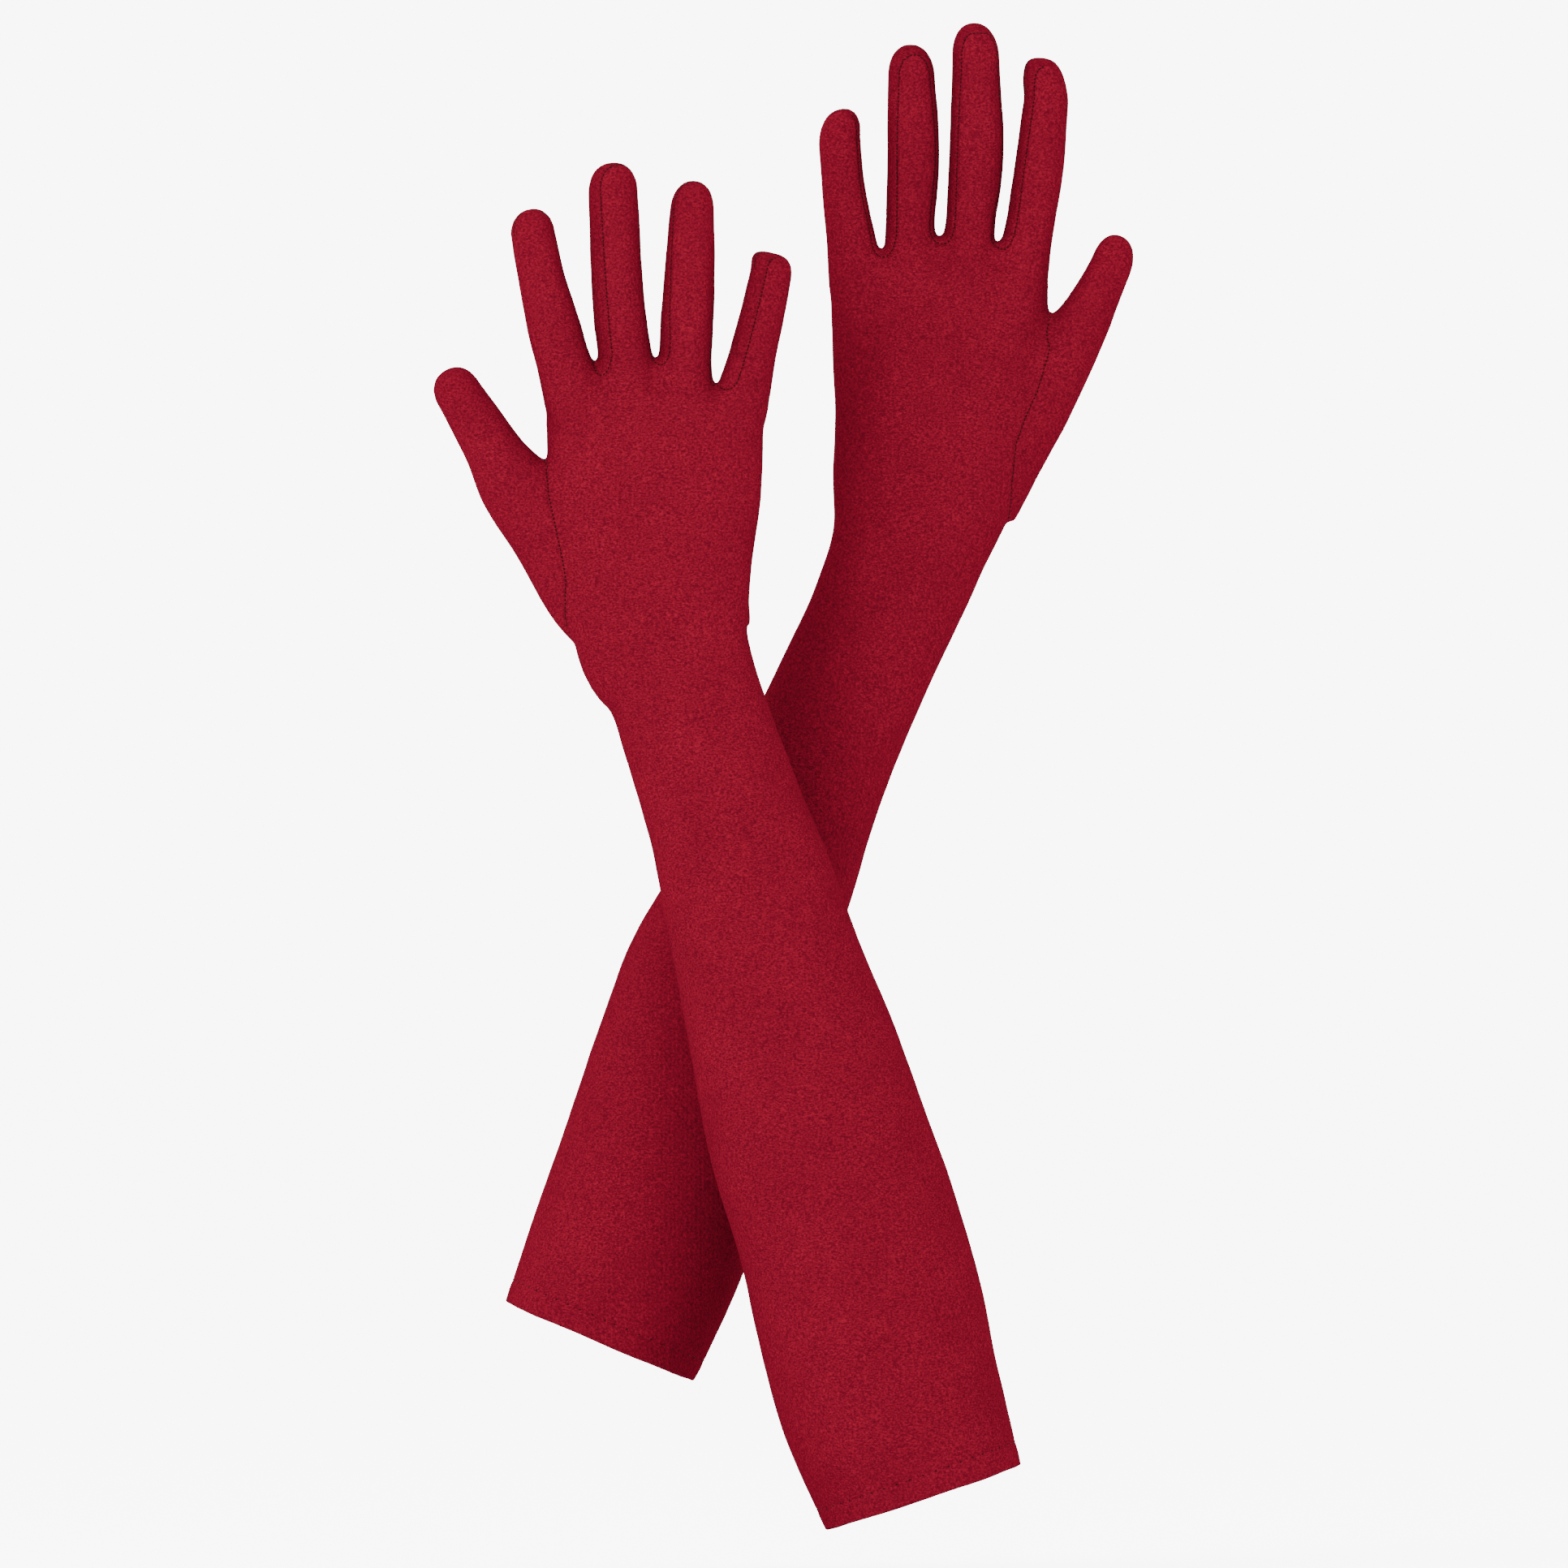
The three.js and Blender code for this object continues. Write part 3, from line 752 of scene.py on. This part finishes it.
def split(bm, faces, point, way):
    """Cuts some of the faces along a plane."""
    geometry = list({item for face in faces for item in (*face.verts, *face.edges)}) + faces
    bmesh.ops.bisect_plane(bm, geom=geometry, plane_co=point, plane_no=way, dist=0.0005)


def label_faces(bm, glove, finger_seams, labels):
    """Marks each face with the piece that it belongs to."""
    layer = bm.faces.layers.int.new("piece")
    for face in bm.faces:
        middle = face.calc_center_median()
        if glove.above_rim(middle) < 0:
            face[layer] = SLEEVE
            continue
        owner, height = glove.owner(middle)
        if height < 0:
            face[layer] = HAND
            continue
        label = owner
        if owner in finger_seams:
            side = finger_seams[owner].strip_side(middle)
            if side:
                label = f"{owner}_strip_{glove.facing(side)}"
        face[layer] = labels.index(label)


def groove(bm, tree_of_seams):
    """Presses the seams in, and gives the cloth its slight unevenness."""
    bm.normal_update()
    ridge, ridge_off, ridge_spread = SEAM_RIDGE
    moves = []
    for vert in bm.verts:
        off = tree_of_seams.find(vert.co)[2]
        depth = SEAM_DEPTH * math.exp(-((off / SEAM_SPREAD) ** 2))
        depth -= ridge * math.exp(-(((off - ridge_off) / ridge_spread) ** 2))
        moves.append(vert.normal * (SMOOTHED_AWAY + uneven(vert.co) - depth))
    for vert, move in zip(bm.verts, moves):
        vert.co += move


def refine_near(bm, tree_of_seams):
    """Gives the skin a finer grain beside its seams."""
    near = {vert for vert in bm.verts if tree_of_seams.find(vert.co)[2] < SEAM_GRAIN}
    edges = [edge for edge in bm.edges if all(v in near for v in edge.verts)]
    bmesh.ops.subdivide_edges(bm, edges=edges, cuts=1, use_grid_fill=True)


def take(bm, value):
    """One piece of the skin as a mesh of its own. The sleeve's wall is closed where the hand starts."""
    piece = bm.copy()
    layer = piece.faces.layers.int["piece"]
    drop = [face for face in piece.faces if face[layer] != value]
    bmesh.ops.delete(piece, geom=drop, context="FACES")
    if value == SLEEVE:
        open_edges = [edge for edge in piece.edges if edge.is_boundary]
        bmesh.ops.bridge_loops(piece, edges=open_edges)
    return piece


def finish_piece(name, bm):
    """Makes a piece an object in metres, shaded as the whole glove is, so that its edges don't show."""
    shade = bm.verts.layers.float_vector["shade"]
    normals = [vert[shade].copy() for vert in bm.verts]
    bm.normal_update()
    for i, vert in enumerate(bm.verts):
        if normals[i].dot(vert.normal) < -0.2:
            normals[i] = -normals[i]
        if normals[i].length < 0.5:
            normals[i] = vert.normal.copy()
    for face in bm.faces:
        face.smooth = True
    bm.transform(Matrix.Scale(MM, 4))
    made = as_object(name, bm)
    made.data.normals_split_custom_set_from_vertices([tuple(n) for n in normals])
    return made


# ---- Stitches ----------------------------------------------------------------------------------------

def stitch(bm, point, along, out, length, width):
    """One stitch, a small grain of thread lying along its seam."""
    side = along.cross(out).normalized()
    out = side.cross(along).normalized()
    turned = Matrix((along * length / 2, side * width / 2, out * width / 2)).transposed().to_4x4()
    bmesh.ops.create_icosphere(bm, subdivisions=1, radius=1, matrix=Matrix.Translation(point) @ turned)


def stitch_line(points, pitch):
    """Evenly spaced places along a seam, each with the way that the seam runs there."""
    places = []
    left = pitch / 2
    for a, b in zip(points, points[1:]):
        step = (b - a).length
        if step < 1e-6:
            continue
        while left < step:
            places.append((a.lerp(b, left / step), (b - a) / step))
            left += pitch
        left -= step
    return places


def add_stitches(glove, tree, seams, hem_row):
    """Lays each seam's stitches on the finished skin, sorted by the piece that they move with."""
    rows = {}
    runs = [(points, STITCH_PITCH, STITCH_LENGTH) for points in seams]
    runs.append((hem_row, HEM_STITCH_PITCH, HEM_STITCH_LENGTH))
    for points, pitch, length in runs:
        for place, along in stitch_line(points, pitch):
            point, out, _, _ = tree.find_nearest(place)
            if abs(along.dot(out)) > 0.8:
                continue
            along = (along - out * along.dot(out)).normalized()
            owner, height = glove.owner(point)
            name = "sleeve" if glove.above_rim(point) < 0 else "hand" if height < 0 else owner
            if name not in rows:
                rows[name] = bmesh.new()
            stitch(rows[name], point + out * STITCH_PROUD, along, out, length, STITCH_WIDTH)
    return rows


# ---- Materials ---------------------------------------------------------------------------------------

def node(tree, kind, **values):
    """A node with its settings and inputs. `i0` is its first input, and a socket given as a value is linked."""
    made = tree.nodes.new(kind)
    for key, value in values.items():
        if hasattr(made, key):
            setattr(made, key, value)
            continue
        numbered = key[0] == "i" and key[1:].isdigit()
        socket = made.inputs[int(key[1:]) if numbered else key.replace("_", " ")]
        if isinstance(value, bpy.types.NodeSocket):
            tree.links.new(value, socket)
        else:
            socket.default_value = value
    return made


def ranged(tree, value, low, high, to_low, to_high):
    """A value whose range is stretched over another."""
    return node(tree, "ShaderNodeMapRange", i0=value, i1=low, i2=high, i3=to_low, i4=to_high).outputs[0]


def shade_mix(tree, amount, low, high):
    """A colour between two others."""
    made = tree.nodes.new("ShaderNodeMix")
    made.data_type = "RGBA"
    tree.links.new(amount, made.inputs[0])
    for socket, value in ((made.inputs[6], low), (made.inputs[7], high)):
        if isinstance(value, bpy.types.NodeSocket):
            tree.links.new(value, socket)
        else:
            socket.default_value = (*value, 1)
    return made.outputs[2]


def knit_group():
    """The fine knit of stretch satin: its speckle of lit loops, and the relief of its ribs and loops."""
    group = bpy.data.node_groups.new("satin_knit", "ShaderNodeTree")
    group.interface.new_socket("Place", in_out="INPUT", socket_type="NodeSocketVector")
    group.interface.new_socket("Loop Size", in_out="INPUT", socket_type="NodeSocketFloat")
    group.interface.new_socket("Speckle", in_out="OUTPUT", socket_type="NodeSocketFloat")
    group.interface.new_socket("Cloud", in_out="OUTPUT", socket_type="NodeSocketFloat")
    group.interface.new_socket("Height", in_out="OUTPUT", socket_type="NodeSocketFloat")
    start = group.nodes.new("NodeGroupInput")
    end = group.nodes.new("NodeGroupOutput")
    place, loop = start.outputs["Place"], start.outputs["Loop Size"]
    rows = node(group, "ShaderNodeMapping", Vector=place, Scale=(0.6, 0.6, 1.0)).outputs[0]
    per_metre = node(group, "ShaderNodeMath", operation="DIVIDE", i0=1.0, i1=loop).outputs[0]
    grain = node(group, "ShaderNodeTexNoise", Vector=rows, Scale=per_metre, Detail=3.0, Roughness=0.65)
    ribs = node(group, "ShaderNodeTexWave", bands_direction="DIAGONAL", Vector=place, Scale=260.0,
                Distortion=1.2, Detail=1.0, Detail_Scale=2.0)
    wales = node(group, "ShaderNodeTexWave", bands_direction="X", Vector=place, Scale=190.0,
                 Distortion=1.5, Detail=1.0, Detail_Scale=2.0)
    cloud = node(group, "ShaderNodeTexNoise", Vector=place, Scale=38.0, Detail=3.0, Roughness=0.6)
    crossed = {"i0": ribs.outputs["Fac"], "i1": wales.outputs["Fac"]}
    knit = node(group, "ShaderNodeMath", operation="MULTIPLY", **crossed)
    height = node(group, "ShaderNodeMath", operation="ADD", i0=grain.outputs["Fac"], i1=knit.outputs[0])
    lit = ranged(group, grain.outputs["Fac"], 0.38, 0.72, 0.0, 1.0)
    group.links.new(lit, end.inputs["Speckle"])
    group.links.new(cloud.outputs["Fac"], end.inputs["Cloud"])
    group.links.new(height.outputs[0], end.inputs["Height"])
    return group


def cloth(name, knit, dark, light, roughness, relief):
    """Matt stretch satin."""
    made = bpy.data.materials.new(name)
    made.use_nodes = True
    tree = made.node_tree
    shader = tree.nodes["Principled BSDF"]
    place = node(tree, "ShaderNodeTexCoord").outputs["Object"]
    grain = tree.nodes.new("ShaderNodeGroup")
    grain.node_tree = knit
    grain.inputs["Loop Size"].default_value = LOOP_SIZE
    tree.links.new(place, grain.inputs["Place"])
    speckled = shade_mix(tree, grain.outputs["Speckle"], dark, light)
    faded = tuple(value * 0.8 for value in dark)
    amount = ranged(tree, grain.outputs["Cloud"], 0.35, 0.7, 0.22, 0.0)
    tree.links.new(shade_mix(tree, amount, speckled, faded), shader.inputs["Base Color"])
    rough = ranged(tree, grain.outputs["Speckle"], 0.0, 1.0, roughness + 0.06, roughness - 0.06)
    tree.links.new(rough, shader.inputs["Roughness"])
    bump = node(tree, "ShaderNodeBump", Strength=relief, Distance=0.00025, Height=grain.outputs["Height"])
    tree.links.new(bump.outputs["Normal"], shader.inputs["Normal"])
    shader.inputs["Specular IOR Level"].default_value = 0.0
    return made


def thread_material(name):
    """Twisted sewing thread, darker than the cloth that it is sunk in."""
    made = bpy.data.materials.new(name)
    made.use_nodes = True
    tree = made.node_tree
    shader = tree.nodes["Principled BSDF"]
    place = node(tree, "ShaderNodeTexCoord").outputs["Object"]
    twist = node(tree, "ShaderNodeTexWave", bands_direction="DIAGONAL", Vector=place, Scale=1100.0)
    colour = shade_mix(tree, twist.outputs["Fac"], THREAD_DARK, THREAD_LIGHT)
    tree.links.new(colour, shader.inputs["Base Color"])
    bump = node(tree, "ShaderNodeBump", Strength=0.4, Distance=0.0001, Height=twist.outputs["Fac"])
    tree.links.new(bump.outputs["Normal"], shader.inputs["Normal"])
    shader.inputs["Roughness"].default_value = 0.75
    shader.inputs["Specular IOR Level"].default_value = 0.02
    return made


# ---- One glove's pieces ------------------------------------------------------------------------------

def put(made, material, slot, *nodes):
    """Gives a piece its material and hides the CAD nodes that it replaces. `slot` is not used."""
    made.data.materials.clear()
    made.data.materials.append(material)
    if nodes:
        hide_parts(*nodes)
    return made


def build_glove(spec, materials):
    """Makes one glove's skin, cuts it into its pieces, and stitches them."""
    glove = Glove(spec)
    name = glove.name
    finger_seams = {finger: FingerSeams(glove, finger) for finger in FINGERS}
    bm = joined_skin(name, glove.core())
    smooth(bm, glove)
    rim = trim_at_wrist(bm, glove)
    tree = BVHTree.FromBMesh(bm)
    seams = hand_seams(glove, tree, finger_seams)
    long_seam = side_seam(glove)
    add_sleeve(bm, glove, rim)
    tree = BVHTree.FromBMesh(bm)
    seams.append(snapped(long_seam, tree))
    near = KDTree(sum(len(points) for points in seams))
    for i, point in enumerate(point for points in seams for point in points):
        near.insert(point, i)
    near.balance()
    refine_near(bm, near)
    cut_panels(bm, glove, finger_seams)
    groove(bm, near)
    bm.normal_update()
    shade = bm.verts.layers.float_vector.new("shade")
    for vert in bm.verts:
        vert[shade] = vert.normal
    strips = [
        f"{finger}_strip_{glove.facing(side)}" for finger in FINGERS for side in finger_seams[finger].sides
    ]
    labels = ["hand", "sleeve", *FINGERS, "thumb", *strips]
    label_faces(bm, glove, finger_seams, labels)
    tree = BVHTree.FromBMesh(bm)
    hem_row = [Vector(p) for p in section(glove.arm, HEM_STITCHES, turn(240) + [0], ARM_ROUNDNESS)]
    stitches = add_stitches(glove, tree, seams, hem_row)

    palm = f"{name}_palm"
    for value, label in enumerate(labels):
        piece = finish_piece(f"{name}_{label}_satin", take(bm, value))
        finger = label.split("_")[0]
        if label == "sleeve":
            covered = [f"{name}_{n}" for n in ("hem", "sleeve_back", "sleeve_palm", "wrist")]
            put(piece, materials["satin"], "satin", *covered)
            blend_sleeve(piece, glove)
        elif label == "hand":
            knuckles = [f"{name}_{f}_knuckle" for f in FINGERS]
            put(piece, materials["satin"], "satin", f"{name}_hand", *knuckles)
            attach(piece, palm)
        elif "strip" in label:
            put(piece, materials["strip"], "satin_strips", f"{name}_{label}")
            blend_digit(piece, glove, finger)
        elif label == "thumb":
            put(piece, materials["satin"], "satin", f"{name}_thumb", f"{name}_thumb_root")
            blend_digit(piece, glove, finger)
        else:
            put(piece, materials["satin"], "satin", f"{name}_{finger}_finger")
            blend_digit(piece, glove, finger)
    for label, stitched in stitches.items():
        stitched.transform(Matrix.Scale(MM, 4))
        for face in stitched.faces:
            face.smooth = True
        piece = as_object(f"{name}_{label}_stitches", stitched)
        if label == "sleeve":
            put(piece, materials["thread"], "thread", f"{name}_hem_stitching", f"{name}_side_seam")
            blend_sleeve(piece, glove)
        elif label == "hand":
            put(piece, materials["thread"], "thread")
            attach(piece, palm)
        else:
            put(piece, materials["thread"], "thread")
            blend_digit(piece, glove, label)


def blend_sleeve(piece, glove):
    """Works out where the sleeve meets the hand, and bakes the sleeve's place into its mesh."""
    end = Vector(glove.arm.centre(glove.hand_from))
    way = Vector(glove.arm.way(glove.hand_from))
    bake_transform(piece)


def blend_digit(piece, glove, digit):
    """Works out where a digit's fabric starts and stops bending, and bakes the piece's place into its mesh."""
    start, end = glove.bends(digit)
    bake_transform(piece)


# ---- The stage ---------------------------------------------------------------------------------------

def add_camera():
    """A long lens level with the middle of the pair, square on to the backs of the hands."""
    data = bpy.data.cameras.new("camera")
    camera = bpy.data.objects.new("camera", data)
    bpy.context.scene.collection.objects.link(camera)
    data.lens = LENS
    data.sensor_width = SENSOR
    camera.location = VIEW_CENTRE - Vector((0, VIEW_WIDTH * LENS / SENSOR, 0))
    camera.rotation_euler = (math.radians(90), 0, 0)
    bpy.context.scene.camera = camera


def add_light(name, place, size, power):
    """A soft white disk of light, turned to the middle of the view."""
    data = bpy.data.lights.new(name, "AREA")
    data.shape = "DISK"
    data.size = size
    data.energy = power
    light = bpy.data.objects.new(name, data)
    light.location = place
    light.rotation_euler = (VIEW_CENTRE - Vector(place)).to_track_quat("-Z", "Y").to_euler()
    bpy.context.scene.collection.objects.link(light)


def add_stage():
    """A white floor that curves up into a white backdrop, both glowing a little, under a bright white sky."""
    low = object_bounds()[0].z - FLOOR_GAP
    bm = bmesh.new()
    place = Matrix.Translation((0, STAGE_SIZE - FLOOR_IN_FRONT, low))
    bmesh.ops.create_grid(bm, x_segments=1, y_segments=1, size=STAGE_SIZE, matrix=place)
    back = [edge for edge in bm.edges if all(v.co.y > STAGE_SIZE for v in edge.verts)]
    raised = bmesh.ops.extrude_edge_only(bm, edges=back)["geom"]
    for vert in [v for v in raised if isinstance(v, bmesh.types.BMVert)]:
        vert.co.z += STAGE_SIZE
    corner = [edge for edge in bm.edges if len(edge.link_faces) == 2]
    bmesh.ops.bevel(
        bm, geom=corner, offset=STAGE_CURVE, segments=16, profile=0.5, affect="EDGES", material=-1
    )
    for face in bm.faces:
        face.smooth = True
    floor = as_object("floor", bm)
    paint = bpy.data.materials.new("floor_white")
    paint.use_nodes = True
    shader = paint.node_tree.nodes["Principled BSDF"]
    shader.inputs["Base Color"].default_value = (0.95, 0.95, 0.95, 1)
    shader.inputs["Roughness"].default_value = 0.9
    shader.inputs["Emission Color"].default_value = (1, 1, 1, 1)
    shader.inputs["Emission Strength"].default_value = BACKDROP_GLOW
    floor.data.materials.append(paint)
    world = bpy.data.worlds.new("studio")
    world.use_nodes = True
    sky = world.node_tree.nodes["Background"]
    sky.inputs["Color"].default_value = (1, 1, 1, 1)
    sky.inputs["Strength"].default_value = SKY
    bpy.context.scene.world = world
    for light in LIGHTS:
        add_light(*light)


# ---- The pair ----------------------------------------------------------------------------------------

KNIT = knit_group()
MATERIALS = {
    "satin": cloth("crimson_satin", KNIT, **SATIN),
    "strip": cloth("crimson_satin_strips", KNIT, **STRIPS),
    "thread": thread_material("dark_red_thread"),
}
for spec in (RIGHT, LEFT):
    build_glove(spec, MATERIALS)
add_camera()
add_stage()
